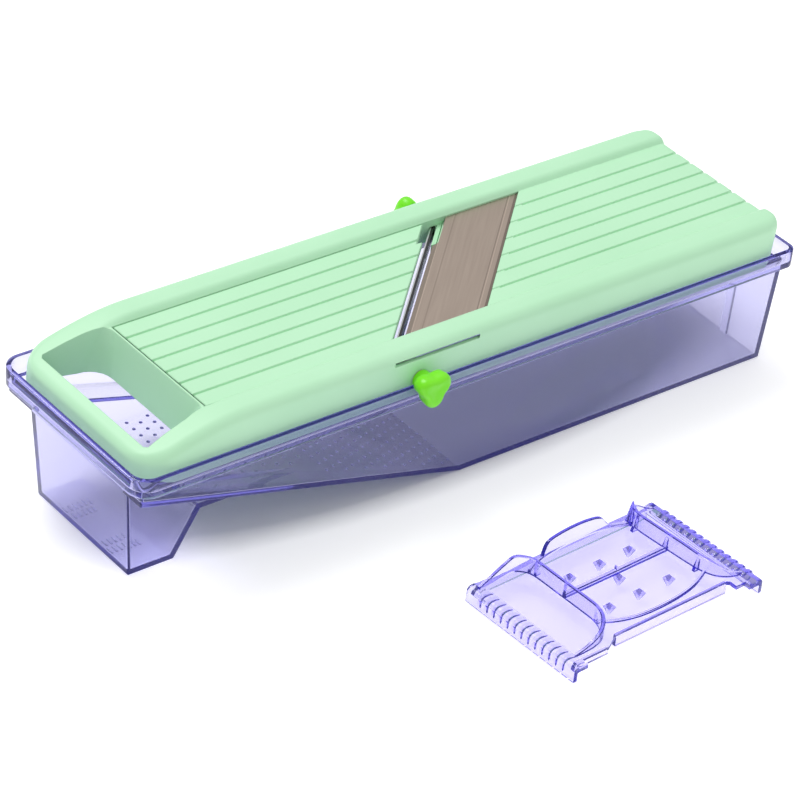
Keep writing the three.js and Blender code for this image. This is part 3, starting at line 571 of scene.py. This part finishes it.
def makeTray():
    wall, top = tray["wall"], tray["top"]
    bandBottom = top - tray["band"]
    slopeStart, slopeTop, shelfTop = tray["slopeStart"], tray["slopeTop"], tray["shelf"]
    hopper = bothSides([(3.6, 48.4, 62), (351.4, 48.4, 62), (3.6, 48.2, slopeTop),
                        (slopeStart, 48.2, slopeTop), (tray["slopeEnd"], 44.8, 0), (348.8, 44.8, 0)])
    foot = bothSides([(10.3, 33.3, 0), (33.2, 33.3, 0), (44.5, 34.3, shelfTop),
                      (4.3, 35.7, 60.6), (56, 35.7, 60.6)])
    shelfEnd = tray["shelfEnd"]
    shelf = bothSides([(36, 34.3, shelfTop), (shelfEnd, 34.3, shelfTop),
                       (36, 35.3, 52), (shelfEnd, 35.3, 52)])
    outer = combine(roundedHull("clearTray", hopper, 0, 0.8),
                    [roundedHull("foot", foot, 0, 0.8), roundedHull("shelf", shelf, 0, 0.8)], "UNION")
    combine(outer, [block("lid", -10, 400, -80, 80, bandBottom + 1, 90)])
    combine(outer, [bandSolid("band", 0, bandBottom, top)], "UNION")
    combine(outer, [bandSolid("bandIn", wall, bandBottom + wall, top + 1),
                    roundedHull("hopperIn", hopper, wall, 0.5), roundedHull("footIn", foot, wall, 0.5),
                    roundedHull("shelfIn", shelf, wall, 0.5)])
    ribs = []
    for side in (-1, 1):
        y0, y1 = [side * tray["ribOffset"] + k * tray["ribWidth"] / 2 for k in (-1, 1)]
        ribs.append(skinned("rib", [[(345.4, y, 1.1), (348.0, y, 1.1), (350.4, y, 49.4), (347.6, y, 49.4)]
                                    for y in (y0, y1)]))
    combine(outer, ribs, "UNION")
    return finishPiece(outer, trayClear, "catch_tray", "clear_tray", "tray", angle=32)


# Low round studs standing on the sloping floor and the shelf, and short bars on the foot's floor.
def makeTrayGrip():
    points, faces = [], []

    def add(rings):
        first = len(points)
        count = len(rings[0])
        for ring in rings:
            points.extend(ring)
        faces.append([first + i for i in range(count)][::-1])
        faces.append([first + (len(rings) - 1) * count + i for i in range(count)])
        for r in range(len(rings) - 1):
            for i in range(count):
                j = (i + 1) % count
                low, high = first + r * count, first + (r + 1) * count
                faces.append([low + i, low + j, high + j, high + i])

    slope = -tray["slopeTop"] / (tray["slopeEnd"] - tray["slopeStart"])
    standOff = 0.03
    lift = tray["wall"] * math.sqrt(1 + slope * slope) + standOff
    pitch, radius, height = tray["studPitch"], tray["studRadius"], tray["studHeight"]
    for row in range(tray["studRows"]):
        x = tray["studStart"] + row * pitch
        for column in range(-8, 9):
            y = (column + (0.5 if row % 2 else 0)) * pitch
            level = x < tray["shelfEnd"] - 1.4  # the shelf behind the foot is level and narrower
            if abs(y) > tray["studsOnShelf" if level else "studsOnSlope"]:
                continue
            tilt = 0 if level else slope
            floorAt = tray["slopeTop"] + slope * (x - tray["slopeStart"]) + lift
            if level:
                floorAt = tray["shelf"] + tray["wall"] + standOff
            rings = []
            for share, rise in ((1, 0), (0.92, 0.45), (0.6, 0.85), (0.2, 1)):
                rings.append([(x + radius * share * math.cos(a), y + radius * share * math.sin(a),
                               floorAt + tilt * radius * share * math.cos(a) + height * rise)
                              for a in [math.pi * k / 4 for k in range(8)]])
            add(rings)
    for y, start, count in ((8, 14, 5), (13.5, 13, 6), (-14, 14, 5), (-19.5, 13, 6)):
        for i in range(count):
            x = start + i * 2.4
            rings = []
            for z, s in ((2.24, 0), (2.5, 0.05), (2.65, 0.3)):
                rings.append([(x + s, y + s, z), (x + 0.9 - s, y + s, z), (x + 0.9 - s, y + 4 - s, z),
                              (x + s, y + 4 - s, z)])
            add(rings)
    grip = meshFrom("trayStuds", points, faces)
    return finishPiece(grip, studClear, "catch_tray", "clear_tray", angle=32)


clearTray = makeTray()
makeTrayGrip()
print("tray done", len(clearTray.data.polygons))

# The finger guard, drawn flat round its own middle and then turned into place.
guard = {
    "middle": (174.2, -148.4), "turn": 3.05, "halfX": 53.7, "halfY": 32.8, "skirt": 7, "plate": 2,
    "wall": 1.7, "wallTop": 15, "ridgeTop": 8.6, "lip": 4.4, "near": -25.2, "ribs": 13, "ribPitch": 4.15,
}


def guardPlace(points):
    c, s = math.cos(math.radians(guard["turn"])), math.sin(math.radians(guard["turn"]))
    x0, y0 = guard["middle"]
    return [(x0 + c * x - s * y, y0 + s * x + c * y, z) for x, y, z in points]


def guardSkin(name, rings):
    return skinned(name, [guardPlace(ring) for ring in rings])


def smoothPath(points, count=4):
    line = []
    for i in range(len(points) - 1):
        a, b, c, d = [Vector(points[max(0, min(len(points) - 1, i + k))]) for k in (-1, 0, 1, 2)]
        for j in range(count):
            t = j / count
            line.append(0.5 * ((2 * b) + (c - a) * t + (2 * a - 5 * b + 4 * c - d) * t * t
                               + (3 * b - a - 3 * c + d) * t * t * t))
    return line + [Vector(points[-1])]


# A thin wall that follows a line of (x, y, top height), with a softly rounded top.
def guardWall(name, points, bottom, smooth=True, wall=None):
    line = smoothPath(points) if smooth else [Vector(p) for p in points]
    half = (wall or guard["wall"]) / 2
    rings = []
    for i, p in enumerate(line):
        along = line[min(i + 1, len(line) - 1)] - line[max(i - 1, 0)]
        side = Vector((-along.y, along.x, 0)).normalized()
        ring = []
        for share, drop in ((-1, None), (1, None), (1, 0.5), (0.6, 0.1), (-0.6, 0.1), (-1, 0.5)):
            z = bottom if drop is None else p.z - drop
            ring.append((p.x + side.x * half * share, p.y + side.y * half * share, z))
        rings.append(ring)
    return guardSkin(name, rings)


def makeGuard():
    g = guard
    hx, hy, top, bottom = g["halfX"], g["halfY"], g["skirt"], g["skirt"] - g["plate"]
    lip, near = hx - g["lip"], g["near"]
    outline = [(-lip, -hy + 3.4), (-lip + 17, -hy + 3.4), (-lip + 18.5, -hy + 4), (-lip + 24, near - 0.6),
               (-lip + 26, near), (lip - 9.5, near), (lip - 8.5, near - 1), (lip - 8.5, -hy + 3),
               (lip, -hy + 3), (lip, hy - 0.12), (-lip, hy - 0.12)]
    solid = guardSkin("fingerGuard", [[(x, y, z) for x, y in outline] for z in (bottom, top)])
    parts = []
    for side in (-1, 1):
        profile = [(lip - 3.4, top - 2.3), (lip - 3.2, top - 0.15), (lip + 0.6, top + 0.6)]
        profile += [(hx - 2.6 + 2.6 * math.sin(a), top + 0.6 - 2.6 + 2.6 * math.cos(a))
                    for a in [math.pi / 2 * i / 6 for i in range(7)]]
        profile += [(hx, 0.6), (hx - 0.4, 0.15), (hx - 1.6, 0.15), (hx - 2.0, 0.6), (hx - 2.0, top - 2.6),
                    (hx - 2.6, top - 2.3)]
        ends = [(-hy, 0.45), (-hy + 0.2, 0.12), (-hy + 0.6, 0), (hy - 0.6, 0), (hy - 0.2, 0.12), (hy, 0.45)]
        mx, mz = lip - 0.6, top - 1
        rings = [[(side * (mx + (x - mx) * (1 - s * 0.18)), y, mz + (z - mz) * (1 - s * 0.14))
                  for x, z in profile] for y, s in ends]
        parts.append(guardSkin("lip", rings))
        across = ((-1.35, 0.24), (-1.15, 0.1), (-0.75, 0.02), (0, 0), (0.75, 0.02), (1.15, 0.1), (1.35, 0.24))
        for i in range(g["ribs"]):
            y = -hy + 7.2 + i * g["ribPitch"]
            arc = [(lip - 2.4, top + 0.1), (lip - 1.2, top + 0.75), (lip + 0.2, top + 1.1)]
            arc += [(hx - 2.6 + 3.4 * math.sin(a), top + 0.3 - 2.6 + 3.6 * math.cos(a))
                    for a in [math.pi / 2 * k / 6 for k in range(7)]]
            arc += [(hx + 0.75, 3.4), (hx + 0.2, 2.3), (hx - 0.6, 2.0), (hx - 1.1, top - 1.6),
                    (lip - 1.8, top - 1.1)]
            rings = [[(side * (mx + (x - mx) * (1 - s)), y + dy, mz + (z - mz) * (1 - s)) for x, z in arc]
                     for dy, s in across]
            parts.append(guardSkin("gripRib", rings))
    base, high, ridge = bottom + 0.3, g["wallTop"], g["ridgeTop"]
    parts += [
        guardWall("leftWall", [(-50.6, 28.6, 8.8), (-47.4, 28.8, 10.2), (-43.4, 29.2, 11.4),
                               (-36, 30.2, 13.4), (-30.4, 30.4, high), (-26.6, 27.8, high),
                               (-24.4, 22.8, high), (-24.3, 8, high), (-24.3, -6, high),
                               (-24.6, -13.5, high), (-26.6, -19.2, 14.6), (-30.6, -23.4, 13),
                               (-36, -25.4, 10.8), (-42.5, -26, 9), (-48.6, -26, 7.8)], base),
        guardWall("rightWall", [(49.6, 29.4, 7.8), (45, 30, 9.6), (39.6, 29.8, 13), (35.6, 27.4, high),
                                (34, 22.4, high), (34.4, 10, high), (35, -2, high), (35.9, -12, 14.4),
                                (38.2, -18.8, 13), (42, -22.6, 10.6), (46, -24.2, 8.8),
                                (49.4, -24.6, 7.8)], base),
        guardWall("farRidge", [(-24.3, 26.2, ridge), (-15.4, 29.6, ridge), (-1.3, 31.6, ridge),
                               (7.6, 31.9, ridge), (18.3, 31.2, ridge), (26.4, 29.4, ridge),
                               (34.6, 26.4, ridge)], base),
        guardWall("farArch", [(-14.6, 29.8, 8.2), (-13.4, 30.1, 11.4), (-11.8, 30.5, 13.8), (-9, 30.9, 15),
                              (-1.3, 31.6, 15.4), (7.6, 31.9, 15.4), (15, 31.5, 15.1), (19.5, 31, 14),
                              (22, 30.5, 11.2), (25, 29.8, 8.4)], base),
        guardWall("nearRidge", [(-24.6, -15.4, ridge), (-16.3, -19.4, ridge), (-7.2, -21.7, ridge),
                                (3.8, -22.3, ridge), (16.1, -21.6, ridge), (26.7, -19.4, ridge),
                                (36, -15.4, ridge)], base, wall=1.3),
        guardWall("crossRib", [(-24.3, 5.4, 9.2), (4, 5.2, 9.2), (34.6, 5.2, 9.4)], base,
                  smooth=False, wall=2.2),
        guardWall("nearSkirt", [(-lip + 26, near + 0.9, top), (lip - 9.5, near + 0.9, top)], 0.6,
                  smooth=False),
        guardWall("farSkirt", [(-lip + 1, hy - 0.9, top), (lip - 1, hy - 0.9, top)], 0.6, smooth=False),
        guardWall("tabSkirt", [(-lip, -hy + 4.3, top), (-lip + 17.5, -hy + 4.3, top)], 3.2, smooth=False),
    ]
    for x, y, reach, height in ((-24.3, 23, 3.6, 13.4), (-24.3, 5.4, 4.2, 13.4), (-25.2, -13.6, 3.4, 13),
                                (4.4, 5.2, 2.2, 10.8), (34.6, 5.2, -4.4, 13.4), (34, 22.6, -4.2, 14.6),
                                (35.6, -12.2, -3.4, 12.6)):
        rings = [[(x, y + w, base), (x + reach, y + w, base), (x + reach * 0.8, y + w, 8.4),
                  (x + reach * 0.25, y + w, height), (x, y + w, height)] for w in (-0.75, 0.75)]
        parts.append(guardSkin("gusset", rings))
    around = [math.pi * k / 4 for k in range(8)]
    spike = [[(34.2 + r * math.cos(a), 27.4 + r * math.sin(a), z) for a in around]
             for z, r in ((base, 2.6), (9, 2.2), (13, 1.5), (16, 0.9), (18, 0.4), (18.4, 0.15))]
    parts.append(guardSkin("spike", spike))
    for x, y in [(x, y) for x in (-12, 5, 22) for y in (-9, 15)] + [(5, 3)]:
        rings = [[(x + r * a, y + r * b, z) for a, b in ((-1, -1), (1, -1), (1, 1), (-1, 1))]
                 for z, r in ((0.8, 0.25), (3.2, 1.3), (bottom + 0.3, 2.1))]
        parts.append(guardSkin("prong", rings))
    combine(solid, [gathered("guardParts", parts)], "UNION", crossing=True)
    return finishPiece(solid, guardClear, "guard", "clear_guard", "finger_guard", angle=38)


fingerGuard = makeGuard()
print("finger guard done", len(fingerGuard.data.polygons))

# Clamp knobs: three soft lobes, thick, with a hub against the rail.
knob = {"radius": 8.8, "inner": 52.8, "outer": 60.8, "height": 61, "hub": 4.4, "rail": 48.95, "lobes": 3,
        "waist": 0.17}


def makeKnob(name, side, node):
    k = knob
    x = (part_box(node)[0][0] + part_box(node)[1][0]) * 500 - rimStart * 1000
    length = k["outer"] - k["inner"]
    rings = []
    # distance from the slicer's middle, share of the lobed outline, radius where it is round
    levels = [(k["rail"], 0, k["hub"]), (k["inner"] - 0.2, 0, k["hub"]), (k["inner"], 0.45, 0)]
    levels += [(k["inner"] + 0.3, 0.86, 0), (k["inner"] + 1.0, 0.95, 0), (k["inner"] + length * 0.5, 1, 0)]
    levels += [(k["outer"] - 3.2 + 3.2 * math.sin(a), 0.66 + 0.34 * math.cos(a), 0)
               for a in [math.pi / 2 * i / 7 for i in range(1, 8)]]
    levels += [(k["outer"] - 0.25, 0.45, 0), (k["outer"] - 0.6, 0.2, 0)]
    for y, share, roundRadius in levels:
        ring = []
        for i in range(60):
            a = 2 * math.pi * i / 60
            lobe = 1 - k["waist"] - side * k["waist"] * math.sin(k["lobes"] * a)
            reach = k["radius"] * lobe * share or roundRadius
            ring.append((x + reach * math.cos(a), side * y, k["height"] + reach * math.sin(a)))
        rings.append(ring)
    return finishPiece(skinned(name, rings), lime, node.replace("clamp_", ""), "lime_plastic",
                       node, angle=50)


makeKnob("nearKnob", -1, "near_clamp_knob")
makeKnob("farKnob", 1, "far_clamp_knob")
print("knobs done")

# Pieces that keep their CAD shape get their finish here.
finishes = {
    "main_blade": bladeSteel, "comb_strip": combSteel, "plate_hinge_pin": brightSteel,
    "near_clamp_insert": brassMetal, "far_clamp_insert": brassMetal, "near_clamp_screw": brightSteel,
    "far_clamp_screw": brightSteel, "thickness_bridge": mint, "near_bridge_screw": brightSteel,
    "far_bridge_screw": brightSteel, "thickness_nut": brassMetal, "thickness_screw": brightSteel,
    "thickness_clip": brightSteel, "thickness_thrust_cap": nylon, "thickness_knob": lime,
    "spring_washer": brightSteel, "thickness_spring": brightSteel,
}
for nodeName, material in finishes.items():
    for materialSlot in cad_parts[nodeName].material_slots:
        materialSlot.material = material
print("finishes set")


# Floor, light and camera. The floor is a light table whose glow is masked out where the tray stands on it, a
# painted shadow.
lightTable = {"glow": 0.38, "paintedShadowPlace": (0.45, 0, 0), "paintedShadowScale": (5.4, 19, 1), "edge": (0.82, 1.06)}
view = {
    "lens": 174.07, "sensor": 36, "place": (-741.716, -1050.196, 952.667),
    "turn": (55.78902, -5.04196, -37.72702),
}


def makeFloor():
    size, drop = 6000, -0.05
    corners = [(-size, -size, drop), (size, -size, drop), (size, size, drop), (-size, size, drop)]
    floor = meshFrom("floor", corners, [[0, 1, 2, 3]])
    material, tree, shader = newMaterial("paleFloor")
    shader.inputs["Base Color"].default_value = (0.93, 0.93, 0.93, 1)
    shader.inputs["Roughness"].default_value = 0.9
    shader.inputs["Specular IOR Level"].default_value = 0.1
    shader.inputs["Emission Color"].default_value = (1, 1, 1, 1)
    place = tree.nodes.new("ShaderNodeTexCoord")
    mapping = tree.nodes.new("ShaderNodeMapping")
    mapping.inputs["Location"].default_value = lightTable["paintedShadowPlace"]
    mapping.inputs["Scale"].default_value = lightTable["paintedShadowScale"]
    # painted shadow: the glow fades to nothing inside an ellipse round the slicer's middle
    distance = tree.nodes.new("ShaderNodeVectorMath")
    distance.operation = "LENGTH"
    glow = tree.nodes.new("ShaderNodeMapRange")
    glow.inputs["From Min"].default_value, glow.inputs["From Max"].default_value = lightTable["edge"]
    glow.inputs["To Min"].default_value = 0
    glow.inputs["To Max"].default_value = lightTable["glow"]
    tree.links.new(place.outputs["Object"], mapping.inputs["Vector"])
    tree.links.new(mapping.outputs["Vector"], distance.inputs[0])
    tree.links.new(distance.outputs["Value"], glow.inputs["Value"])
    tree.links.new(glow.outputs["Result"], shader.inputs["Emission Strength"])
    floor.data.materials.append(material)


# A square soft box, one metre wide, aimed at the middle of the slicer.
def softBox(name, place, power):
    data = bpy.data.lights.new(name, "AREA")
    data.shape = "RECTANGLE"
    data.size, data.size_y = 1.0, 1.0
    data.energy = power
    lamp = newObject(name, data)
    lamp.location = place
    lamp.rotation_euler = (-Vector(place)).to_track_quat("-Z", "Y").to_euler()


makeFloor()
world = bpy.data.worlds.new("studio")
scene.world = world
world.use_nodes = True
sky = world.node_tree
place = sky.nodes.new("ShaderNodeTexCoord")
split = sky.nodes.new("ShaderNodeSeparateXYZ")
shade = sky.nodes.new("ShaderNodeValToRGB")
shade.color_ramp.elements[0].position = 0.0
shade.color_ramp.elements[0].color = (0.62, 0.62, 0.66, 1)
shade.color_ramp.elements[1].position = 0.75
shade.color_ramp.elements[1].color = (1, 1, 1, 1)
sky.links.new(place.outputs["Generated"], split.inputs["Vector"])
sky.links.new(split.outputs["Z"], shade.inputs["Fac"])
sky.links.new(shade.outputs["Color"], sky.nodes["Background"].inputs["Color"])
sky.nodes["Background"].inputs["Strength"].default_value = 0.8
softBox("keyLight", (-0.3, 0.9, 1.7), 16)
softBox("fillLight", (0.9, -1.2, 1.2), 1.5)
scene.view_settings.view_transform = "Standard"
scene.cycles.max_bounces = 32
scene.cycles.transmission_bounces = 32
scene.cycles.glossy_bounces = 16

cameraData = bpy.data.cameras.new("camera")
cameraData.sensor_width = view["sensor"]
cameraData.lens = view["lens"]
cameraData.clip_end = 20
camera = newObject("camera", cameraData)
camera.location = at(*view["place"])
camera.rotation_euler = [math.radians(a) for a in view["turn"]]
scene.camera = camera
print("floor, lights and camera ready")
